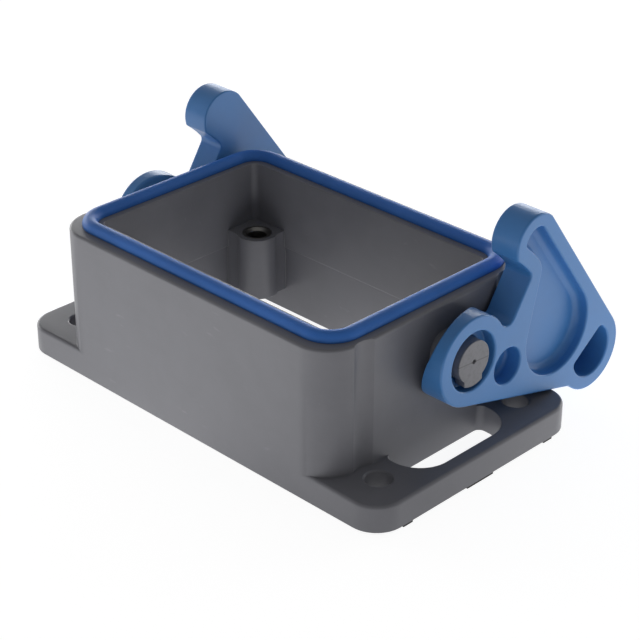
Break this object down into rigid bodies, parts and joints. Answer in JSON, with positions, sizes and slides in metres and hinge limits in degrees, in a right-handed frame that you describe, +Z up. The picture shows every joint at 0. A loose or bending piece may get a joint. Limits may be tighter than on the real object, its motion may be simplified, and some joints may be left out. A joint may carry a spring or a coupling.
{
  "type": "bulkhead housing of a heavy duty rectangular connector with locking lever",
  "caption": "Dark grey moulded panel housing of a heavy duty rectangular connector, with a blue rim seal and a blue hinged bail lever whose hooks lock the mating hood.",
  "frame": {"origin": "centre of the four fixing holes, in the plane of the flange's underside", "axes": "+X along the housing, +Y towards the lever's handle, +Z up out of the panel"},
  "size_m": [0.0832, 0.0618, 0.0385],
  "materials": {
    "grey_moulding": "fine satin moulding",
    "blue_moulding": "satin moulding",
    "blue_rubber": "smooth rubber",
    "black_rubber": "matt rubber",
    "bush_steel": "plain turned"
  },
  "bodies": {
    "base": {"housing": "grey_moulding", "thread_bushes": "bush_steel", "rim_seal": "blue_rubber", "panel_gasket": "black_rubber"},
    "bail": {"lever": "blue_moulding"}
  },
  "joints": [
    {"name": "lever_hinge", "type": "hinge", "parent": "base", "child": "bail", "pos_m": [0, 0.002, 0.0184], "axis": [1, 0, 0], "range_deg": [0, 56]}
  ]
}
